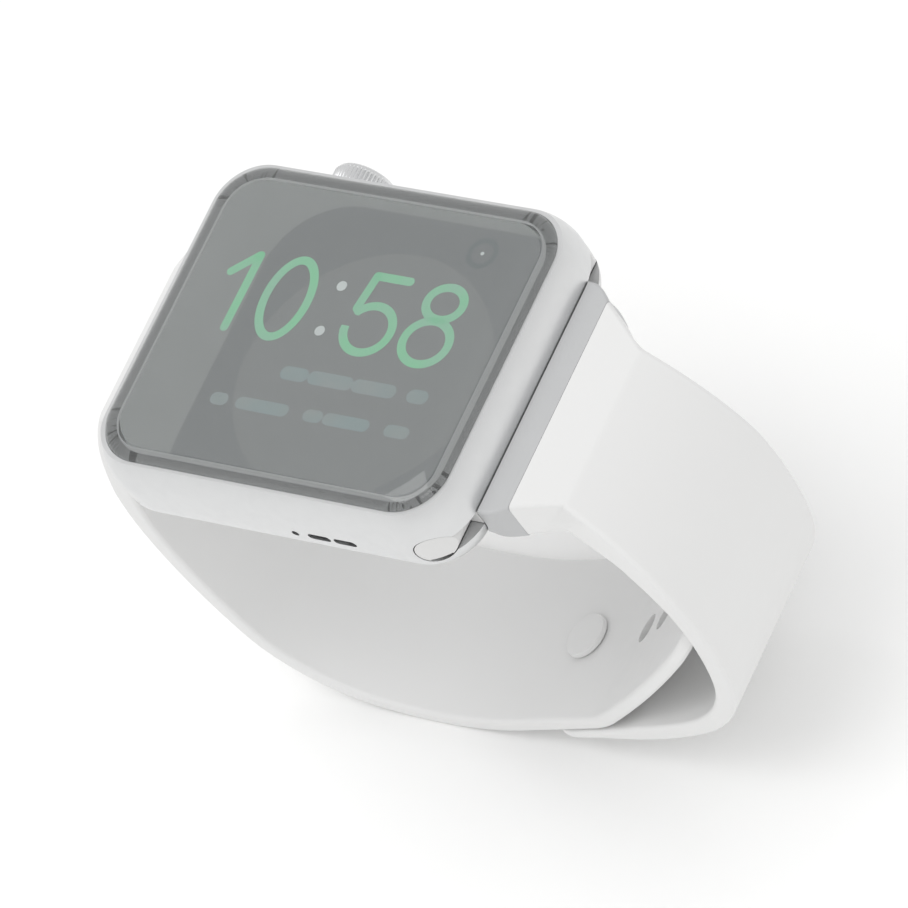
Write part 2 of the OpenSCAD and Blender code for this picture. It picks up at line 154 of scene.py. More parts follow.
def slab(bm, length, width, radius, z0, z1):
    """Closed plate with round corners in plan."""
    face = round_plate(bm, length, width, radius, z0)
    base = bmesh.ops.duplicate(bm, geom=[face])["geom"]
    bmesh.ops.reverse_faces(bm, faces=[g for g in base if isinstance(g, bmesh.types.BMFace)])
    top = bmesh.ops.extrude_discrete_faces(bm, faces=[face])["faces"][0]
    bmesh.ops.translate(bm, verts=top.verts, vec=(0, 0, z1 - z0))
    bmesh.ops.remove_doubles(bm, verts=bm.verts, dist=1e-5)
    return top


def pill_x(bm, x0, x1, y, z, length, height, steps=10):
    """Closed plate with round ends in Y and Z, from x0 to x1."""
    start = set(bm.verts)
    face = round_plate(bm, length, height, height / 2 - 1e-4, 0, steps)
    base = bmesh.ops.duplicate(bm, geom=[face])["geom"]
    bmesh.ops.reverse_faces(bm, faces=[g for g in base if isinstance(g, bmesh.types.BMFace)])
    top = bmesh.ops.extrude_discrete_faces(bm, faces=[face])["faces"][0]
    bmesh.ops.translate(bm, verts=top.verts, vec=(0, 0, x1 - x0))
    made = [v for v in bm.verts if v not in start]
    turn = Matrix.Translation((x0, y, z)) @ Matrix.Rotation(pi / 2, 4, "Y")
    bmesh.ops.transform(bm, matrix=turn, verts=made)
    bmesh.ops.remove_doubles(bm, verts=made, dist=1e-5)


def piece(name, bm, smooth=40):
    """A mesh object from a bmesh in millimetres, smooth up to an angle in degrees."""
    bmesh.ops.scale(bm, verts=bm.verts, vec=(MM, MM, MM))
    mesh = bpy.data.meshes.new(name)
    bm.to_mesh(mesh)
    bm.free()
    obj = bpy.data.objects.new(name, mesh)
    bpy.context.scene.collection.objects.link(obj)
    soften(obj, smooth)
    return obj


def soften(obj, smooth):
    """Smooth shading, broken at edges sharper than an angle in degrees."""
    for face in obj.data.polygons:
        face.use_smooth = True
    obj.data.set_sharp_from_angle(angle=radians(smooth))


def carve(obj, tool_bm, how="DIFFERENCE", smooth=40):
    """Cuts, joins or trims obj with a closed form, and keeps the result as its mesh."""
    tool = piece("tool", tool_bm)
    step = obj.modifiers.new("carve", "BOOLEAN")
    step.operation = how
    step.object = tool
    step.solver = "EXACT"
    step.use_self = True
    bpy.context.view_layer.update()
    made = bpy.data.meshes.new_from_object(obj.evaluated_get(bpy.context.evaluated_depsgraph_get()))
    obj.modifiers.clear()
    old = obj.data
    obj.data = made
    bpy.data.meshes.remove(old)
    bpy.data.objects.remove(tool)
    soften(obj, smooth)


def seat(obj, body, slot, *nodes):
    """The piece rides on a body and stands for CAD nodes, which it hides; slot is not used."""
    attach(obj, body)
    if nodes:
        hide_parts(*nodes)


def finish(obj, material):
    """Gives the whole piece one material."""
    obj.data.materials.clear()
    obj.data.materials.append(material)


def new_finish(name, color, roughness, metallic=0.0):
    """A material with its shader, ready for grain and variation."""
    mat = bpy.data.materials.new(name)
    mat.use_nodes = True
    shader = mat.node_tree.nodes["Principled BSDF"]
    shader.inputs["Base Color"].default_value = (*color, 1)
    shader.inputs["Roughness"].default_value = roughness
    shader.inputs["Metallic"].default_value = metallic
    return mat


def place(mat):
    """The material's Object coordinates."""
    nodes = mat.node_tree.nodes
    coords = nodes.get("place") or nodes.new("ShaderNodeTexCoord")
    coords.name = "place"
    return coords.outputs["Object"]


def noise(mat, scale, detail=3, stretch=(1, 1, 1)):
    """Noise of the given scale per metre on Object coordinates."""
    tree = mat.node_tree
    mapping = tree.nodes.new("ShaderNodeMapping")
    mapping.inputs["Scale"].default_value = stretch
    tree.links.new(place(mat), mapping.inputs["Vector"])
    grain = tree.nodes.new("ShaderNodeTexNoise")
    grain.inputs["Scale"].default_value = scale
    grain.inputs["Detail"].default_value = detail
    tree.links.new(mapping.outputs["Vector"], grain.inputs["Vector"])
    return grain.outputs["Fac"]


def spread(mat, value, low, high):
    """Maps a 0.3 to 0.7 value to low and high."""
    ramp = mat.node_tree.nodes.new("ShaderNodeMapRange")
    ramp.inputs["From Min"].default_value = 0.3
    ramp.inputs["From Max"].default_value = 0.7
    ramp.inputs["To Min"].default_value = low
    ramp.inputs["To Max"].default_value = high
    mat.node_tree.links.new(value, ramp.inputs["Value"])
    return ramp.outputs["Result"]


def feed(mat, value, socket):
    """Drives one input of the material's shader."""
    mat.node_tree.links.new(value, mat.node_tree.nodes["Principled BSDF"].inputs[socket])


def relief(mat, value, strength, distance):
    """Bump from a value, distance in metres; further calls stack on it."""
    tree = mat.node_tree
    bump = tree.nodes.new("ShaderNodeBump")
    bump.inputs["Strength"].default_value = strength
    bump.inputs["Distance"].default_value = distance
    tree.links.new(value, bump.inputs["Height"])
    shader = tree.nodes["Principled BSDF"]
    before = shader.inputs["Normal"].links
    if before:
        tree.links.new(before[0].from_socket, bump.inputs["Normal"])
    tree.links.new(bump.outputs["Normal"], shader.inputs["Normal"])


def tint(mat, value, color_a, color_b):
    """Base colour between two tones."""
    tree = mat.node_tree
    mix = tree.nodes.new("ShaderNodeMix")
    mix.data_type = "RGBA"
    mix.inputs["A"].default_value = (*color_a, 1)
    mix.inputs["B"].default_value = (*color_b, 1)
    tree.links.new(value, mix.inputs["Factor"])
    tree.links.new(mix.outputs["Result"], tree.nodes["Principled BSDF"].inputs["Base Color"])


bm = bmesh.new()
pillow(bm)
case = piece("case_shell", bm)

tools = bmesh.new()
slab(tools, glass_l + 0.1, glass_w + 0.1, glass_r + 0.03, 9.1, 11)
slab(tools, 37.0, 31.0, 4.0, 7.6, 9.6)
slab(tools, 31.2, 31.6, 6.0, 1.9, 8.0)
rod_z(tools, 0, 0, 0, 2.4, 14.15, segments=96)
carve(case, tools)

tools = bmesh.new()
for end in (-1, 1):
    rod_x(tools, -20, 20, end * slot_y, slot_z, slot_r)
    box(tools, (-20, min(end * slot_y, end * 23), mouth_lo), (20, max(end * slot_y, end * 23), mouth_hi))
    rod_z(tools, 0, end * slot_y, 0.4, 1.9, 1.5)
    rod_z(tools, 0, end * slot_y, 0.5, 1.12, 1.9, 1.42)
    rod_z(tools, 0, end * slot_y, 1.5, 4, 0.78)
rod_x(tools, 17.1, 20, crown_y, key_z, 3.6, segments=72)
rod_x(tools, 17.1, 19.1, crown_y, key_z, 2.6, 4.6, segments=72)
rod_x(tools, 15, 18, crown_y, key_z, 1.6)
pill_x(tools, 16.7, 19, button_y, key_z, 10.8, 3.0)
rod_x(tools, 15, 17, button_y, key_z, 0.78)
for y in (-8.1, -5.1):
    pill_x(tools, -19, -15, y, 4.2, 2.6, 0.9)
rod_x(tools, -19, -15, -2.3, 4.2, 0.4)
carve(case, tools)

bosses = bmesh.new()
for x in (-12.6, 12.6):
    for y in (-12.2, 12.2):
        rod_z(bosses, x, y, 1.6, 6.95, 1.1)
carve(case, bosses, "UNION", smooth=32)
edge = case.modifiers.new("broken edges", "BEVEL")
edge.width = 0.09 * MM
edge.segments = 2
edge.limit_method = "ANGLE"
edge.angle_limit = radians(38)
edge.miter_outer = "MITER_ARC"
edge.harden_normals = False
case.modifiers.new("even shading", "WEIGHTED_NORMAL").keep_sharp = True
seat(case, "case_unit", "case_metal", "case")

anodised = new_finish("anodised_silver", (0.66, 0.665, 0.668), 0.34, 1.0)
feed(anodised, spread(anodised, noise(anodised, 900, 4), 0.30, 0.40), "Roughness")
tint(anodised, noise(anodised, 60, 2), (0.645, 0.652, 0.657), (0.675, 0.678, 0.68))
relief(anodised, noise(anodised, 9000, 2), 0.18, 0.00001)
relief(anodised, noise(anodised, 2600, 3), 0.06, 0.00002)
finish(case, anodised)

# ---------------------------------------------------------------- cover glass
# One piece of glass, its edge ground to a long curve that runs down to a thin
# skirt, glued into the case's rebate. The screen sits in its pocket.
glass_rise, glass_curve = 1.4, 4.2
pocket_l, pocket_z, skirt_z = 36.4, 9.75, 9.3

bm = bmesh.new()
face = round_plate(bm, glass_l, glass_w, glass_r, seam_z, 16)
drawn = height = 0.0
for i in range(1, 21):
    a = i / 20 * pi / 2
    draw_in(bm, face, max(glass_curve * (1 - cos(a)) - drawn, 1e-4), glass_rise * sin(a) - height)
    drawn, height = glass_curve * (1 - cos(a)), glass_rise * sin(a)
face = round_plate(bm, glass_l, glass_w, glass_r, seam_z, 16)
bmesh.ops.reverse_faces(bm, faces=[face])
draw_in(bm, face, 1e-4, seam_z - skirt_z)
draw_in(bm, face, (glass_l - pocket_l) / 2, 0)
draw_in(bm, face, 1e-4, skirt_z - pocket_z)
bmesh.ops.remove_doubles(bm, verts=bm.verts, dist=2e-4)
glass = piece("cover_glass_curved", bm, smooth=35)
seat(glass, "case_unit", "glass_cover", "cover_glass")

clear = new_finish("cover_glass_clear", (0.97, 0.985, 0.98), 0.03)
clear.node_tree.nodes["Principled BSDF"].inputs["Transmission Weight"].default_value = 1.0
clear.node_tree.nodes["Principled BSDF"].inputs["IOR"].default_value = 1.5
feed(clear, spread(clear, noise(clear, 140, 4), 0.02, 0.075), "Roughness")
relief(clear, noise(clear, 45, 1), 0.02, 0.00003)
finish(glass, clear)

# ---------------------------------------------------------------- edge print
# Grey ink printed on the glass's skirt and underside, all round the screen, so
# that nothing of the rebate shows through the curved edge. The ink is self-lit
# in the screen's grey: painted glow, though it is no lamp.


def glow(name, color, other):
    """Self-lit finish that drifts between two tones, with a fine grain."""
    mat = new_finish(name, (0.04, 0.04, 0.04), 0.35)
    tree = mat.node_tree
    tree.nodes["Principled BSDF"].inputs["Emission Strength"].default_value = 1.0
    mix = tree.nodes.new("ShaderNodeMix")
    mix.data_type = "RGBA"
    mix.inputs["A"].default_value = (*color, 1)
    mix.inputs["B"].default_value = (*other, 1)
    tree.links.new(spread(mat, noise(mat, 260, 2), 0.0, 1.0), mix.inputs["Factor"])
    feed(mat, mix.outputs["Result"], "Emission Color")
    feed(mat, spread(mat, noise(mat, 3000, 2), 0.3, 0.4), "Roughness")
    relief(mat, noise(mat, 12000, 1), 0.05, 0.000005)
    return mat


# painted glow: the edge ink emits the screen's grey itself
glass.data.materials.append(glow("edge_ink_painted_glow", (0.245, 0.252, 0.253), (0.255, 0.262, 0.263)))
for face in glass.data.polygons:
    low = all(glass.data.vertices[v].co.z < seam_z * MM + 1e-6 for v in face.vertices)
    window = face.area > 8e-4 and face.center.z > pocket_z * MM - 1e-6
    face.material_index = 1 if low and not window else 0

# ---------------------------------------------------------------- screen
# Lit panel under the glass: a grey face with a broad disc on a darker plate,
# the time in thin round-ended strokes, two rows of plain bars and a ring sign.
panel_l, panel_w, panel_r = 36.2, 30.2, 3.6
panel_z0, panel_z1, dial_z = 9.16, 9.7, 9.71
stroke = 0.92


def dial_move(verts, x, y, z, turn=0.0):
    """Dial coordinates: x towards 6 o'clock, y towards the crown, turn counterclockwise."""
    spot = Matrix.Translation((y, -x, z)) @ Matrix.Rotation(turn - pi / 2, 4, "Z")
    bmesh.ops.transform(bm, matrix=spot, verts=verts)


def dial_bar(x0, y0, x1, y1, width):
    """Round-ended bar between two points of the dial."""
    run = Vector((x1 - x0, y1 - y0))
    face = bmesh.ops.create_grid(bm, x_segments=1, y_segments=1, size=0.5)["verts"]
    bmesh.ops.scale(bm, verts=face, vec=(run.length + width, width, 1))
    cut = bmesh.ops.bevel(bm, geom=face, offset=width / 2 - 1e-3, offset_type="OFFSET", segments=8,
                          profile=0.5, affect="VERTICES", material=-1)
    from_x = run.angle_signed(Vector((1, 0))) if run.length else 0.0
    dial_move(cut["verts"], (x0 + x1) / 2, (y0 + y1) / 2, dial_z, from_x)


def dial_ring(x, y, half_w, half_h, width):
    """Oval ring, outer half sizes given."""
    disc = bmesh.ops.create_circle(bm, cap_ends=True, segments=64, radius=1)["verts"]
    bmesh.ops.scale(bm, verts=disc, vec=(half_w, half_h, 1))
    face = disc[0].link_faces[0]
    bmesh.ops.inset_region(bm, faces=[face], thickness=width, use_even_offset=True, use_boundary=True)
    hub = face.verts[:]
    bmesh.ops.delete(bm, geom=[face], context="FACES_ONLY")
    dial_move(disc + hub, x, y, dial_z + 0.004)


def dial_arc(x, y, radius, width, start, sweep):
    """Part of a ring, angles in degrees from the dial's x axis."""
    ends = [bm.verts.new((radius + side * width / 2, 0, 0)) for side in (-1, 1)]
    edge = bm.edges.new(ends)
    bmesh.ops.rotate(bm, verts=ends, cent=(0, 0, 0), matrix=Matrix.Rotation(radians(start), 3, "Z"))
    before = set(bm.verts) - set(ends)
    bmesh.ops.spin(bm, geom=ends + [edge], cent=(0, 0, 0), axis=(0, 0, 1), angle=radians(sweep),
                   steps=32, use_merge=False)
    dial_move([v for v in bm.verts if v not in before], x, y, dial_z + 0.002)


def dial_piece(name, mat):
    """Ends the drawing in hand as a flat piece of the screen that faces up."""
    bmesh.ops.recalc_face_normals(bm, faces=bm.faces)
    for face in bm.faces:
        if face.normal.z < 0:
            face.normal_flip()
    made = piece(name, bm)
    seat(made, "case_unit", "panel")
    finish(made, mat)


bm = bmesh.new()
slab(bm, panel_l, panel_w, panel_r, panel_z0, panel_z1)
bmesh.ops.recalc_face_normals(bm, faces=bm.faces)
panel = piece("screen_panel", bm)
seat(panel, "case_unit", "panel", "display_panel")

grey_face = glow("screen_grey", (0.168, 0.178, 0.176), (0.176, 0.185, 0.184))


def dial_mask(mat, centre, keep, radius):
    """1 inside a circle about centre; a corner also runs on straight towards -X and -Y."""
    tree = mat.node_tree
    shift = tree.nodes.new("ShaderNodeVectorMath")
    shift.operation = "SUBTRACT"
    tree.links.new(place(mat), shift.inputs[0])
    shift.inputs[1].default_value = [v * MM for v in centre]
    edge_on = shift.outputs[0]
    if keep == "corner":
        limit = tree.nodes.new("ShaderNodeVectorMath")
        limit.operation = "MAXIMUM"
        tree.links.new(edge_on, limit.inputs[0])
        edge_on = limit.outputs[0]
    flat = tree.nodes.new("ShaderNodeVectorMath")
    flat.operation = "MULTIPLY"
    tree.links.new(edge_on, flat.inputs[0])
    flat.inputs[1].default_value = (1, 1, 0)
    far = tree.nodes.new("ShaderNodeVectorMath")
    far.operation = "LENGTH"
    tree.links.new(flat.outputs[0], far.inputs[0])
    ramp = tree.nodes.new("ShaderNodeMapRange")
    ramp.inputs["From Min"].default_value = (radius - 0.12) * MM
    ramp.inputs["From Max"].default_value = (radius + 0.12) * MM
    ramp.inputs["To Min"].default_value = 1.0
    ramp.inputs["To Max"].default_value = 0.0
    tree.links.new(far.outputs["Value"], ramp.inputs["Value"])
    return ramp.outputs["Result"]


def dial_tone(mat, below, mask, color):
    """Lays a tone over what is below, where the mask is 1."""
    mix = mat.node_tree.nodes.new("ShaderNodeMix")
    mix.data_type = "RGBA"
    mat.node_tree.links.new(below, mix.inputs["A"])
    mix.inputs["B"].default_value = (*color, 1)
    mat.node_tree.links.new(mask, mix.inputs["Factor"])
    return mix.outputs["Result"]


plate_mask = dial_mask(grey_face, (6.0, 2.8, 0), "corner", 8.0)
disc_mask = dial_mask(grey_face, (-3.5, -5.7, 0), "circle", 13.4)
drift = grey_face.node_tree.nodes["Principled BSDF"].inputs["Emission Color"].links[0].from_socket
tone = dial_tone(grey_face, drift, plate_mask, (0.118, 0.126, 0.129))
tone = dial_tone(grey_face, tone, disc_mask, (0.142, 0.150, 0.151))
feed(grey_face, tone, "Emission Color")
finish(panel, grey_face)

bm = bmesh.new()
dial_bar(-13.9, 4.8, -11.6, 7.0, stroke)
dial_bar(-11.5, 7.0, -11.6, -1.2, stroke)
dial_ring(-6.35, 2.95, 2.9, 4.8, stroke)
dial_bar(2.3, 7.0, 6.1, 7.0, stroke)
dial_bar(2.3, 7.0, 1.75, 3.3, stroke)
dial_arc(4.05, 1.25, 2.6, stroke, 145, -325)
dial_bar(1.75, 3.3, 2.1, 3.0, stroke)
dial_bar(1.45, 0.8, 1.45, 0.8, stroke)
dial_ring(10.95, 5.35, 2.5, 2.25, stroke)
dial_ring(10.9, 0.95, 3.0, 2.85, stroke)
dial_piece("time_digits", glow("digit_green", (0.15, 0.44, 0.24), (0.20, 0.39, 0.28)))

bm = bmesh.new()
for y in (5.3, 0.2):
    dial_bar(-1.05, y, -1.05, y, 1.1)
dial_bar(12.3, 11.3, 12.3, 11.3, 0.4)
dial_piece("time_colon", glow("dot_white", (0.42, 0.45, 0.45), (0.46, 0.50, 0.49)))

bm = bmesh.new()
for x0, x1 in ((-2.3, -0.6), (0.9, 4.6), (6.0, 9.6), (12.4, 13.3)):
    dial_bar(x0, -4.8, x1, -4.8, 1.5)
for x0, x1 in ((-8.6, -7.9), (-5.6, -0.8), (2.3, 3.2), (4.6, 8.6), (11.7, 13.2)):
    dial_bar(x0, -8.8, x1, -8.8, 1.35)
dial_piece("text_bars", glow("bar_grey", (0.165, 0.218, 0.222), (0.195, 0.22, 0.218)))

bm = bmesh.new()
dial_ring(12.3, 11.3, 1.7, 1.7, 0.55)
dial_piece("sign_ring", glow("sign_dark", (0.085, 0.10, 0.105), (0.095, 0.11, 0.115)))

# ---------------------------------------------------------------- crown
# Turned knob with fine teeth between two plain rims, of the case's metal, and
# a shallow domed cap pressed into its face.
crown_x0, teeth = 17.5, 48
tooth_depth, per_tooth = 0.18, 8

def sweep(bm, stations):
    """Closed skin through equal rings of points, one after another, capped at both ends."""
    ring = bmesh.ops.create_circle(bm, segments=len(stations[0]), radius=1)["verts"]
    order = {v: i for i, v in enumerate(ring)}
    edges = list({e for v in ring for e in v.link_edges})
    ends = [edges]
    for points in stations:
        if points is not stations[0]:
            grown = bmesh.ops.extrude_edge_only(bm, edges=edges)["geom"]
            fresh = [g for g in grown if isinstance(g, bmesh.types.BMVert)]
            order = {v: next(order[o] for o in (e.other_vert(v) for e in v.link_edges) if o in order)
                     for v in fresh}
            edges = [g for g in grown if isinstance(g, bmesh.types.BMEdge)
                     and g.verts[0] in order and g.verts[1] in order]
        for v, i in order.items():
            v.co = points[i]
    ends.append(edges)
    for loop in ends:
        bmesh.ops.edgeloop_fill(bm, edges=loop)
    bmesh.ops.recalc_face_normals(bm, faces=bm.faces)


def toothed_ring(z, radius, cut):
    """Ring of points at height z; cut is how far the teeth go in."""
    count = teeth * per_tooth
    out = []
    for i in range(count):
        dip = tooth_depth * cut * sin(i % per_tooth / per_tooth * pi) ** 2
        a = 2 * pi * i / count
        out.append(((radius - dip) * cos(a), (radius - dip) * sin(a), z))
    return out


bm = bmesh.new()
sweep(bm, [toothed_ring(*row) for row in (
    (0, 2.9, 0), (0.12, 3.04, 0), (0.32, 3.06, 0), (0.4, 3.1, 0), (0.46, 3.2, 0.7), (0.56, 3.25, 1),
    (1.74, 3.25, 1), (1.84, 3.2, 0.7), (1.9, 3.1, 0), (1.98, 3.06, 0), (2.14, 3.03, 0),
    (2.26, 2.92, 0), (2.3, 2.78, 0), (2.3, 2.55, 0), (2.2, 2.5, 0))])
spot = Matrix.Translation((crown_x0, crown_y, key_z)) @ Matrix.Rotation(pi / 2, 4, "Y")
bmesh.ops.transform(bm, matrix=spot, verts=bm.verts)
crown = piece("crown_knob_knurled", bm, smooth=28)
seat(crown, "crown_knob", "case_metal", "crown")
turned = new_finish("turned_aluminium", (0.70, 0.705, 0.71), 0.28, 1.0)
feed(turned, spread(turned, noise(turned, 2200, 3), 0.22, 0.36), "Roughness")
relief(turned, noise(turned, 5000, 2), 0.1, 0.00001)
finish(crown, turned)


def lathe(bm, outline, steps=96):
    """Spins an open outline of (radius, height) points about Z and closes it."""
    verts = [bm.verts.new((r, 0, z)) for r, z in outline]
    edges = [bm.edges.new(pair) for pair in zip(verts, verts[1:])]
    bmesh.ops.spin(bm, geom=verts + edges, cent=(0, 0, 0), axis=(0, 0, 1), angle=2 * pi,
                   steps=steps, use_merge=True)
    bmesh.ops.remove_doubles(bm, verts=bm.verts, dist=1e-4)
    bmesh.ops.recalc_face_normals(bm, faces=bm.faces)


bm = bmesh.new()
lathe(bm, [(0, 2.2), (2.42, 2.2), (2.42, 2.32), (2.3, 2.39), (1.9, 2.42), (1.2, 2.445), (0, 2.46)])
bmesh.ops.transform(bm, matrix=spot, verts=bm.verts)
cap = piece("crown_cap_domed", bm, smooth=30)
seat(cap, "crown_knob", "case_metal", "crown_cap")
polished = new_finish("polished_cap", (0.66, 0.665, 0.67), 0.16, 1.0)
feed(polished, spread(polished, noise(polished, 700, 3), 0.12, 0.2), "Roughness")
relief(polished, noise(polished, 1500, 2), 0.03, 0.00001)
finish(cap, polished)

# ---------------------------------------------------------------- side button
# Long pill-shaped key in the case's metal, flush in its pocket but for a
# millimetre, with a stem through the wall and a clip behind it.
button_l, button_h, button_x0, button_x1 = 10.5, 2.7, 17.0, 18.5


def pill_ring(x, inset):
    """Round-ended ring of points at x, drawn in from the key's outline."""
    radius = button_h / 2
    out = []
    for i in range(64):
        a = 2 * pi * (i + 0.5) / 64
        side = (button_l / 2 - radius) * (1 if cos(a) > 0 else -1)
        out.append((x, button_y + side + (radius - inset) * cos(a), key_z + (radius - inset) * sin(a)))
    return out


bm = bmesh.new()
rings = [pill_ring(button_x0, 0.15), pill_ring(button_x0 + 0.15, 0)]
for i in range(8):
    a = i / 7 * pi / 2
    rings.append(pill_ring(button_x1 - 0.4 + 0.4 * sin(a), 0.4 * (1 - cos(a))))
sweep(bm, rings)
button = piece("side_button_key", bm, smooth=35)
stem = bmesh.new()
rod_x(stem, 14.7, 17.2, button_y, key_z, 0.7)
carve(button, stem, "UNION", smooth=35)
seat(button, "side_key", "case_metal", "side_button")
finish(button, anodised)

# ---------------------------------------------------------------- back
# Dark ceramic ring bonded into the case, around a domed sensor crystal, with
# four sensor windows showing through the crystal.
bm = bmesh.new()
lathe(bm, [(9.6, 1.5), (9.6, 0.58), (9.72, 0.5), (10.5, 0.6), (12, 0.8), (13.7, 0.95), (14.0, 1.02),
           (14.1, 1.12), (14.1, 2.0), (15.2, 2.0), (15.2, 2.2), (10.4, 2.2), (10.4, 1.5), (9.6, 1.5)], 128)
back = piece("back_ring_ceramic", bm, smooth=32)
seat(back, "case_unit", "dark_ceramic", "case_back")
ceramic = new_finish("dark_ceramic_satin", (0.028, 0.030, 0.034), 0.28)
feed(ceramic, spread(ceramic, noise(ceramic, 500, 4), 0.22, 0.36), "Roughness")
tint(ceramic, noise(ceramic, 180, 2), (0.024, 0.026, 0.03), (0.034, 0.036, 0.04))
relief(ceramic, noise(ceramic, 4000, 2), 0.05, 0.00001)
finish(back, ceramic)

bm = bmesh.new()
lathe(bm, [(0, 0), (2, 0.004), (4, 0.02), (5.5, 0.085), (7, 0.2), (8.3, 0.36), (9.2, 0.5), (9.42, 0.57),
           (9.5, 0.68), (9.5, 1.5), (10.3, 1.5), (10.3, 1.9), (8.4, 1.9), (8.4, 1.1), (0, 1.1)], 128)
crystal = piece("sensor_crystal_dome", bm, smooth=32)
seat(crystal, "case_unit", "dark_crystal", "sensor_crystal")
smoked = new_finish("smoked_crystal", (0.10, 0.105, 0.115), 0.05)
smoked.node_tree.nodes["Principled BSDF"].inputs["Transmission Weight"].default_value = 0.65
smoked.node_tree.nodes["Principled BSDF"].inputs["IOR"].default_value = 1.6
feed(smoked, spread(smoked, noise(smoked, 260, 4), 0.03, 0.1), "Roughness")
relief(smoked, noise(smoked, 80, 1), 0.02, 0.00002)
finish(crystal, smoked)

# ---------------------------------------------------------------- release buttons
# Small steel keys in the back, one at each strap slot: pressed in, each lifts
# its pin out of the bead so that the strap slides out sideways.
brushed = new_finish("brushed_steel", (0.56, 0.57, 0.58), 0.3, 1.0)
feed(brushed, spread(brushed, noise(brushed, 900, 3, (1, 12, 1)), 0.22, 0.42), "Roughness")
tint(brushed, noise(brushed, 300, 2), (0.52, 0.53, 0.54), (0.60, 0.61, 0.62))
relief(brushed, noise(brushed, 2500, 2, (1, 14, 1)), 0.12, 0.00001)
for end, name in ((1, "12"), (-1, "6")):
    bm = bmesh.new()
    lathe(bm, [(0, 1.06), (0.9, 1.05), (1.28, 1.0), (1.38, 1.03), (1.42, 1.12), (1.42, 1.45), (0.72, 1.45),
               (0.72, 2.62), (0, 2.62)], 48)
    bmesh.ops.translate(bm, verts=bm.verts, vec=(0, end * slot_y, 0))
    release = piece("release_key_" + name, bm, smooth=32)
    seat(release, "release_" + name, "case_metal", "release_button_" + name)
    finish(release, brushed)

# ---------------------------------------------------------------- strap runs
# Both straps leave the case on one line, bend down into the loop and lap at
# its bottom; the 12 o'clock tail goes on inside the other strap.
path_start, path_heading = (19.4, 5.87), -8.0
run_6 = [(0, 1.6), (9.5, 46), (33.7, 36), (45, 14), (19, 46), (50, 14), (0, 11.7)]
run_12 = [(0, 1.6), (9.5, 46), (33.2, 20), (47, 16), (75, 14), (15, 64), (33, 33), (0, 11.2),
          (10, 22), (180, 9)]
thick_6 = [(0, 3.9), (8, 4.2), (14, 3.8), (20, 2.9), (26, 2.3), (34, 2.2), (65, 2.2), (69, 1.6),
           (72, 1.15), (80.5, 0.5)]
thick_12 = [(0, 3.9), (8, 4.2), (14, 3.8), (20, 2.9), (26, 2.3), (34, 2.1), (95, 2.0), (105, 1.7),
            (133, 1.5)]
bar_y, shoulder_w, neck_w = 23.8, 26.0, 17.8


def walk(run, step=0.5):
    """Stations (y, z, heading, distance) along the outer face, heading in degrees."""
    y, z = path_start
    heading, far = path_heading, 0.0
    out = [(y, z, heading, far)]
    for radius, amount in run:
        length = radius * radians(amount) if radius else amount
        count = max(2, round(length / step))
        for k in range(1, count + 1):
            t = k / count
            if radius:
                now = heading - amount * t
                out.append((y + radius * (sin(radians(heading)) - sin(radians(now))),
                            z + radius * (cos(radians(now)) - cos(radians(heading))), now,
                            far + length * t))
            else:
                out.append((y + length * t * cos(radians(heading)),
                            z + length * t * sin(radians(heading)), heading, far + length * t))
        y, z, heading, far = out[-1]
    return out


def between(table, x):
    """Eased value from a table of (place, value)."""
    for (x0, a), (x1, b) in zip(table, table[1:]):
        if x <= x1:
            t = min(max((x - x0) / (x1 - x0), 0), 1)
            return a + (b - a) * (t * t * (3 - 2 * t) * 0.5 + t * 0.5)
    return table[-1][1]


def half_width(y, z, full):
    """Half the strap's width: the shoulder runs in to the neck, which widens downwards."""
    side = neck_w / 2 + (full - neck_w) / 2 * min(max((3 - z) / 16, 0), 1)
    t = min(max((y - 21.8) / 5.2, 0), 1)
    shoulder = neck_w / 2 + (shoulder_w - neck_w) / 2 * (1 + cos(pi * t)) / 2
    return max(side, shoulder) if z > -9 and y < 27 else side


def ribbon(bm, run, table, full, last=1e9, edge_r=0.5, tip_r=0.0, per_corner=6):
    """Strap skin with round edges along a run; a whole strap starts at the end bar's plane."""
    stops = [s for s in walk(run) if s[3] <= last]
    end = stops[-1][3]
    stations = []
    for y, z, heading, far in stops:
        thick = between(table, far)
        r = min(edge_r, thick * 0.45)
        pull = 0.0
        if tip_r and far > end - tip_r:
            pull = tip_r - (tip_r ** 2 - (far - end + tip_r) ** 2) ** 0.5
        points = []
        for i in range(4 * per_corner):
            quarter, step = divmod(i, per_corner)
            a = (quarter + step / (per_corner - 1)) * pi / 2
            deep = (thick / 2 - r) * (1 if quarter in (0, 1) else -1) + r * sin(a) - thick / 2
            at_y = y - sin(radians(heading)) * deep
            at_z = z + cos(radians(heading)) * deep
            half = half_width(at_y, at_z, full) - pull
            points.append(((half - r) * (1 if quarter in (0, 3) else -1) + r * cos(a), at_y, at_z))
        stations.append(points)
    if last > 20:
        stations = from_bar(stations)
    sweep(bm, stations)


def from_bar(stations):
    """The rings from the end bar's plane on, the first one flat on the plane."""
    first = []
    beyond = 0
    for i in range(len(stations[0])):
        for k, (a, b) in enumerate(zip(stations, stations[1:])):
            if a[i][1] <= bar_y < b[i][1]:
                t = (bar_y - a[i][1]) / (b[i][1] - a[i][1])
                first.append(tuple(p + (q - p) * t for p, q in zip(a[i], b[i])))
                beyond = max(beyond, k + 1)
                break
    return [first] + stations[beyond + 1:]


def trim(bm, y):
    """Cuts off what lies beyond a plane across Y, and closes the form."""
    cut = bmesh.ops.bisect_plane(bm, geom=bm.verts[:] + bm.edges[:] + bm.faces[:], dist=1e-5,
                                 plane_co=(0, y, 0), plane_no=(0, 1, 0), clear_outer=True)
    rim = [g for g in cut["geom_cut"] if isinstance(g, bmesh.types.BMEdge)]
    bmesh.ops.edgeloop_fill(bm, edges=rim)


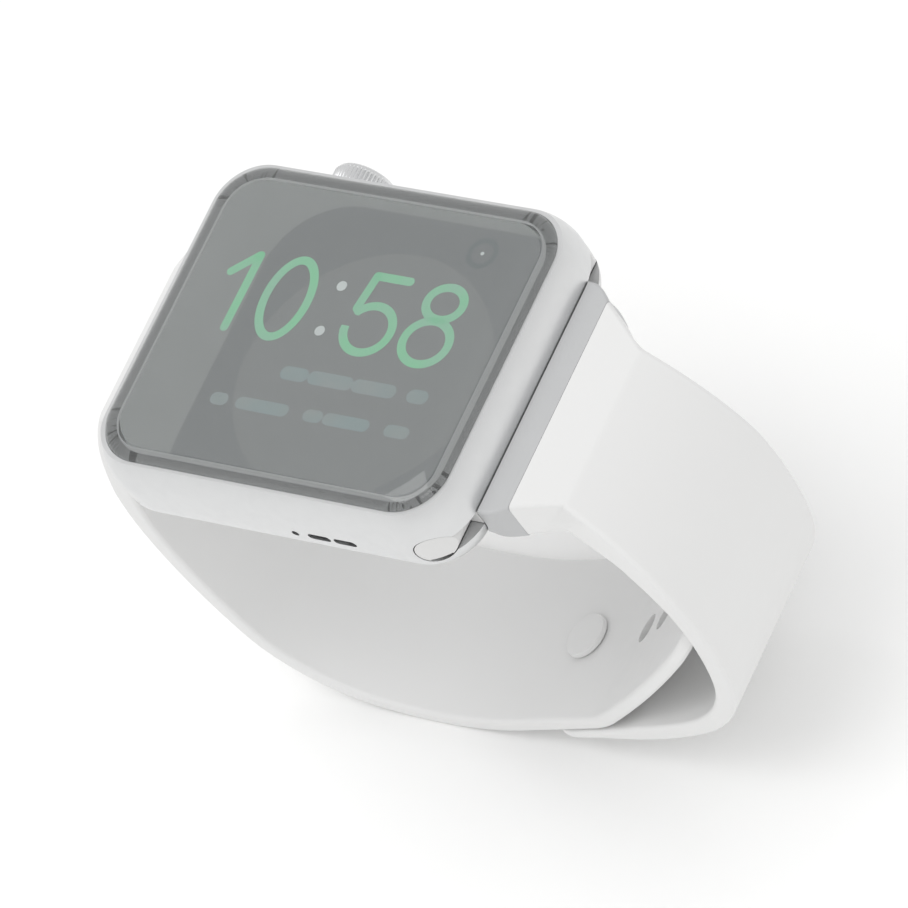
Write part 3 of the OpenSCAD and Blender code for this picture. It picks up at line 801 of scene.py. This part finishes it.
def to_six(bm):
    """Turns a 12 o'clock form into the 6 o'clock one."""
    bmesh.ops.scale(bm, verts=bm.verts, vec=(1, -1, 1))
    bmesh.ops.reverse_faces(bm, faces=bm.faces)


def broken_edge(obj, width, angle=50):
    """Small rounding of the sharp edges."""
    step = obj.modifiers.new("broken edges", "BEVEL")
    step.width = width * MM
    step.segments = 3
    step.limit_method = "ANGLE"
    step.angle_limit = radians(angle)
    obj.modifiers.new("even shading", "WEIGHTED_NORMAL").keep_sharp = True


# ---------------------------------------------------------------- strap ends
# A satin light grey moulding at each strap's end: a bead that slides into the
# case's slot from the side, a flat neck, and a bar that fills the case's curve.
# The bead has a paler copy of the moulding's grey, painted light against the
# shade of the slot.
satin = new_finish("satin_grey_moulding", (0.47, 0.475, 0.48), 0.42)
feed(satin, spread(satin, noise(satin, 1400, 3), 0.36, 0.48), "Roughness")
tint(satin, noise(satin, 220, 2), (0.455, 0.46, 0.465), (0.485, 0.49, 0.495))
relief(satin, noise(satin, 7000, 2), 0.1, 0.00001)

# Paler copy of the satin grey for the bead: painted light over the slot's shade.
bead_painted_light = new_finish("pale_bead_moulding", (0.66, 0.66, 0.655), 0.36)
feed(bead_painted_light, spread(bead_painted_light, noise(bead_painted_light, 1400, 3), 0.3, 0.42), "Roughness")
tint(bead_painted_light, noise(bead_painted_light, 220, 2), (0.645, 0.645, 0.64), (0.675, 0.675, 0.67))
relief(bead_painted_light, noise(bead_painted_light, 7000, 2), 0.08, 0.00001)

for name in ("12", "6"):
    bm = bmesh.new()
    rod_x(bm, -case_w / 2, case_w / 2, slot_y, slot_z, 1.8, segments=64)
    bead = piece("strap_bead_" + name, bm)
    tools = bmesh.new()
    box(tools, (-13, slot_y, mouth_lo + 0.1), (13, case_l / 2, mouth_hi - 0.1))
    carve(bead, tools, "UNION")
    tools = bmesh.new()
    pillow(tools, -0.05)
    carve(bead, tools, "INTERSECT")
    tools = bmesh.new()
    box(tools, (-19, slot_y - 1, 2), (19, slot_y + 1, 3.25))
    rod_z(tools, 0, slot_y, 3, 5.2, 0.75)
    carve(bead, tools)
    tools = bmesh.new()
    box(tools, (-11, slot_y + 1.5, mouth_lo + 0.1), (11, bar_y - 0.5, mouth_hi - 0.6))
    carve(bead, tools, "UNION")

    bm = bmesh.new()
    ribbon(bm, run_6, thick_6, 20, last=12, edge_r=0.35)
    trim(bm, bar_y - 0.03)
    bar = piece("strap_end_bar_" + name, bm)
    tools = bmesh.new()
    pillow(tools, 0.1)
    carve(bar, tools)
    if name == "6":
        for obj in (bead, bar):
            bm = bmesh.new()
            bm.from_mesh(obj.data)
            to_six(bm)
            bm.to_mesh(obj.data)
            bm.free()
    for obj in (bead, bar):
        soften(obj, 35)
        broken_edge(obj, 0.08)
        seat(obj, "band_" + name, "lug_plastic", "lug_connector_" + name)
    finish(bead, bead_painted_light)
    finish(bar, satin)

# ---------------------------------------------------------------- straps
# One-piece moulded fluoroelastomer straps, soft to the touch, widening from the
# case; the tail has a row of holes for the stud, which goes through both.
stud_y, stud_z, stud_turn = [walk(run_12[:8])[-1][i] for i in range(3)]
stud_y -= 5.0 * cos(radians(stud_turn))
stud_z -= 5.0 * sin(radians(stud_turn))


def across_tail(bm, radius, low, high, y, z, turn):
    """Round bar through the straps; heights are out of the loop from the tail's outer face."""
    made = bmesh.ops.create_cone(bm, cap_ends=True, segments=48, radius1=radius, radius2=radius,
                                 depth=high - low)["verts"]
    bmesh.ops.translate(bm, verts=made, vec=(0, 0, (low + high) / 2))
    spot = Matrix.Translation((0, y, z)) @ Matrix.Rotation(radians(turn), 4, "X")
    bmesh.ops.transform(bm, matrix=spot, verts=made)


elastomer = new_finish("fluoroelastomer_white", (0.74, 0.74, 0.737), 0.5)
elastomer.node_tree.nodes["Principled BSDF"].inputs["Specular IOR Level"].default_value = 0.4
elastomer.node_tree.nodes["Principled BSDF"].inputs["Sheen Weight"].default_value = 0.08
elastomer.node_tree.nodes["Principled BSDF"].inputs["Sheen Roughness"].default_value = 0.5
feed(elastomer, spread(elastomer, noise(elastomer, 600, 3), 0.46, 0.58), "Roughness")
tint(elastomer, noise(elastomer, 45, 3), (0.73, 0.73, 0.726), (0.752, 0.752, 0.748))
relief(elastomer, noise(elastomer, 5200, 2), 0.12, 0.00002)
relief(elastomer, noise(elastomer, 900, 2), 0.03, 0.00004)

bm = bmesh.new()
ribbon(bm, run_12, thick_12, 19.4, tip_r=5)
strap = piece("strap_long", bm, smooth=35)
holes = bmesh.new()
across_tail(holes, 1.6, -3, 2, stud_y, stud_z, stud_turn)
carve(strap, holes)
tail = walk(run_12)
for i in range(1, 6):
    far = walk(run_12[:-1])[-1][3] + (i - 0.6) * 5.6
    y, z, turn, _ = min(tail, key=lambda s: abs(s[3] - far))
    holes = bmesh.new()
    across_tail(holes, 1.6, -3, 2, y, z, turn)
    carve(strap, holes, smooth=35)
broken_edge(strap, 0.12)
seat(strap, "band_12", "strap_rubber", "strap_12")
finish(strap, elastomer)

bm = bmesh.new()
ribbon(bm, run_6, thick_6, 20, tip_r=5)
to_six(bm)
strap = piece("strap_short", bm, smooth=35)
holes = bmesh.new()
across_tail(holes, 1.5, -0.5, 3, stud_y, stud_z, stud_turn)
carve(strap, holes)
holes = bmesh.new()
across_tail(holes, 2.7, 0.45, 3, stud_y, stud_z, stud_turn)
carve(strap, holes, smooth=35)
broken_edge(strap, 0.12)
seat(strap, "band_6", "strap_rubber", "strap_6")
finish(strap, elastomer)

# ---------------------------------------------------------------- stud
# Turned steel stud that holds the lapped straps: a flange in the outer strap, a
# post through both and a button inside, all moulded over with the straps' elastomer.
bm = bmesh.new()
lathe(bm, [(0, -2.85), (1.2, -2.84), (2.2, -2.8), (2.42, -2.72), (2.5, -2.6), (2.5, -2.2), (2.4, -2.1),
           (1.5, -2.1), (1.5, 0.45), (2.62, 0.45), (2.69, 0.5), (2.69, 0.78), (2.6, 0.85), (1.2, 0.85),
           (0, 0.84)], 72)
bmesh.ops.transform(bm, matrix=Matrix.Translation((0, stud_y, stud_z))
                    @ Matrix.Rotation(radians(stud_turn), 4, "X"), verts=bm.verts)
stud = piece("closing_stud", bm, smooth=35)
seat(stud, "band_6", "strap_rubber", "fastening_stud")
finish(stud, elastomer)

# ---------------------------------------------------------------- steel inside
# Stamped and turned steel: screws, springs, shafts, brackets, plates, magnet,
# speaker mesh and the tapping motor's weight and can.


def dress(material, *names):
    """Puts a finish on CAD nodes."""
    for name in names:
        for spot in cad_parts[name].material_slots:
            spot.material = material


dress(brushed, "display_backplate", "crown_bush", "crown_collar", "crown_shaft", "side_button_clip",
      "side_button_bracket", "release_spring_12", "release_spring_6", "detent_pin_12", "detent_pin_6",
      "haptic_springs", "haptic_housing", "board_screws")
plated = new_finish("plated_steel", (0.44, 0.43, 0.42), 0.35, 1.0)
feed(plated, spread(plated, noise(plated, 700, 4), 0.25, 0.5), "Roughness")
tint(plated, noise(plated, 350, 3), (0.40, 0.395, 0.385), (0.48, 0.47, 0.46))
relief(plated, noise(plated, 3500, 2), 0.15, 0.00001)
dress(plated, "alignment_magnet", "haptic_mass", "microphone")

mesh_steel = new_finish("woven_steel_mesh", (0.10, 0.10, 0.105), 0.45, 1.0)
weave = mesh_steel.node_tree.nodes.new("ShaderNodeTexVoronoi")
weave.inputs["Scale"].default_value = 6500
weave.inputs["Randomness"].default_value = 0.05
mesh_steel.node_tree.links.new(place(mesh_steel), weave.inputs["Vector"])
tint(mesh_steel, weave.outputs["Distance"], (0.02, 0.02, 0.02), (0.24, 0.24, 0.25))
relief(mesh_steel, weave.outputs["Distance"], 0.4, 0.00003)
dress(mesh_steel, "speaker_mesh")

# ---------------------------------------------------------------- coils
# Lacquered copper wire, wound flat for charging and round for the motor.
copper = new_finish("lacquered_copper", (0.60, 0.24, 0.10), 0.28, 1.0)
turns = copper.node_tree.nodes.new("ShaderNodeTexWave")
turns.wave_type = "RINGS"
turns.rings_direction = "Z"
turns.inputs["Scale"].default_value = 700
turns.inputs["Distortion"].default_value = 0.0
copper.node_tree.links.new(place(copper), turns.inputs["Vector"])
tint(copper, turns.outputs["Fac"], (0.30, 0.11, 0.045), (0.68, 0.29, 0.13))
feed(copper, spread(copper, noise(copper, 900, 3), 0.2, 0.36), "Roughness")
relief(copper, turns.outputs["Fac"], 0.6, 0.00004)
dress(copper, "charging_coil", "haptic_coil")

# ---------------------------------------------------------------- boards
# Green solder-masked glass laminate with faint copper tracks under the mask.
board = new_finish("solder_mask", (0.02, 0.09, 0.05), 0.35)
tracks = board.node_tree.nodes.new("ShaderNodeTexBrick")
tracks.inputs["Scale"].default_value = 420
tracks.inputs["Mortar Size"].default_value = 0.03
tracks.inputs["Color1"].default_value = (0.012, 0.075, 0.04, 1)
tracks.inputs["Color2"].default_value = (0.016, 0.09, 0.048, 1)
tracks.inputs["Mortar"].default_value = (0.03, 0.14, 0.07, 1)
board.node_tree.links.new(place(board), tracks.inputs["Vector"])
feed(board, tracks.outputs["Color"], "Base Color")
feed(board, spread(board, noise(board, 900, 3), 0.28, 0.45), "Roughness")
relief(board, tracks.outputs["Fac"], 0.3, 0.00002)
relief(board, noise(board, 2600, 2), 0.08, 0.00001)
dress(board, "sensor_board", "logic_board")

# ---------------------------------------------------------------- black mouldings
# Moulded black polymer: speaker box, sealed processor package, switches.
moulded = new_finish("moulded_black", (0.022, 0.022, 0.024), 0.5)
feed(moulded, spread(moulded, noise(moulded, 1200, 3), 0.42, 0.6), "Roughness")
tint(moulded, noise(moulded, 260, 2), (0.018, 0.018, 0.02), (0.03, 0.03, 0.032))
relief(moulded, noise(moulded, 5200, 2), 0.3, 0.00002)
dress(moulded, "speaker", "system_package", "crown_switch", "crown_encoder", "side_button_switch")

# ---------------------------------------------------------------- seals
# Soft black rubber rings and gasket, slightly dusty.
seal = new_finish("seal_rubber", (0.015, 0.015, 0.015), 0.75)
feed(seal, spread(seal, noise(seal, 1500, 3), 0.65, 0.85), "Roughness")
tint(seal, noise(seal, 420, 3), (0.012, 0.012, 0.012), (0.026, 0.026, 0.025))
relief(seal, noise(seal, 4200, 2), 0.25, 0.00002)
dress(seal, "back_seal", "display_gasket", "crown_seal")

# ---------------------------------------------------------------- coil shield
# Sintered ferrite sheet behind the charging coil, dark and grainy.
sintered = new_finish("sintered_ferrite", (0.055, 0.05, 0.046), 0.7)
feed(sintered, spread(sintered, noise(sintered, 2200, 4), 0.55, 0.85), "Roughness")
tint(sintered, noise(sintered, 3200, 3), (0.035, 0.032, 0.03), (0.08, 0.074, 0.068))
relief(sintered, noise(sintered, 3800, 3), 0.4, 0.00002)
dress(sintered, "coil_shield")

# ---------------------------------------------------------------- battery
# Laminated pouch foil, faintly wrinkled over the cell.
pouch = new_finish("pouch_foil", (0.10, 0.10, 0.11), 0.38, 0.35)
feed(pouch, spread(pouch, noise(pouch, 600, 3), 0.3, 0.5), "Roughness")
tint(pouch, noise(pouch, 90, 2), (0.085, 0.085, 0.094), (0.12, 0.12, 0.13))
relief(pouch, noise(pouch, 240, 3), 0.3, 0.00012)
relief(pouch, noise(pouch, 3000, 2), 0.08, 0.00001)
dress(pouch, "battery")

# ---------------------------------------------------------------- ribbon cables
# Amber polyimide film over fine copper lines.
film = new_finish("polyimide_film", (0.42, 0.17, 0.035), 0.28)
lines = film.node_tree.nodes.new("ShaderNodeTexWave")
lines.bands_direction = "X"
lines.inputs["Scale"].default_value = 900
film.node_tree.links.new(place(film), lines.inputs["Vector"])
tint(film, lines.outputs["Fac"], (0.46, 0.2, 0.045), (0.3, 0.11, 0.02))
feed(film, spread(film, noise(film, 500, 3), 0.2, 0.36), "Roughness")
relief(film, lines.outputs["Fac"], 0.2, 0.00002)
dress(film, "sensor_cable", "display_cable")

# ---------------------------------------------------------------- sensor lights
# Clear green-tinted emitter windows on the sensor board, under the crystal.
window = new_finish("emitter_window", (0.10, 0.34, 0.16), 0.15)
window.node_tree.nodes["Principled BSDF"].inputs["Coat Weight"].default_value = 0.6
feed(window, spread(window, noise(window, 1100, 3), 0.1, 0.24), "Roughness")
tint(window, noise(window, 800, 2), (0.08, 0.30, 0.14), (0.13, 0.40, 0.2))
relief(window, noise(window, 2400, 2), 0.1, 0.00001)
dress(window, "sensor_leds")

# ---------------------------------------------------------------- floor and light
# A pale seamless table top under the loop, and wide soft studio panels.
lowest = cad_box[0][2]
sweep = bmesh.new()
bmesh.ops.create_circle(sweep, cap_ends=True, segments=96, radius=4000)
bmesh.ops.translate(sweep, verts=sweep.verts, vec=(0, 0, lowest / MM - 0.05))
floor = piece("table_top", sweep)
pale = new_finish("pale_table", (0.93, 0.93, 0.925), 0.6)
tint(pale, noise(pale, 6, 2), (0.925, 0.925, 0.92), (0.935, 0.935, 0.93))
finish(floor, pale)

room = bpy.data.worlds.new("studio")
room.use_nodes = True
room.node_tree.nodes["Background"].inputs["Color"].default_value = (1.0, 1.0, 1.0, 1)
room.node_tree.nodes["Background"].inputs["Strength"].default_value = 0.84
bpy.context.scene.world = room
bpy.context.scene.view_settings.view_transform = "Standard"


def soft_panel(name, at, size, power):
    """Square light at a point in metres, facing the watch."""
    lamp = bpy.data.lights.new(name, "AREA")
    lamp.shape = "SQUARE"
    lamp.size = size
    lamp.energy = power
    panel = bpy.data.objects.new(name, lamp)
    panel.location = at
    panel.rotation_mode = "QUATERNION"
    panel.rotation_quaternion = (-Vector(at)).to_track_quat("-Z", "Y")
    bpy.context.scene.collection.objects.link(panel)


soft_panel("key", (-0.2, 0.15, 1.1), 0.8, 4.5)
soft_panel("fill", (-0.5, -0.75, 0.85), 0.5, 1.5)
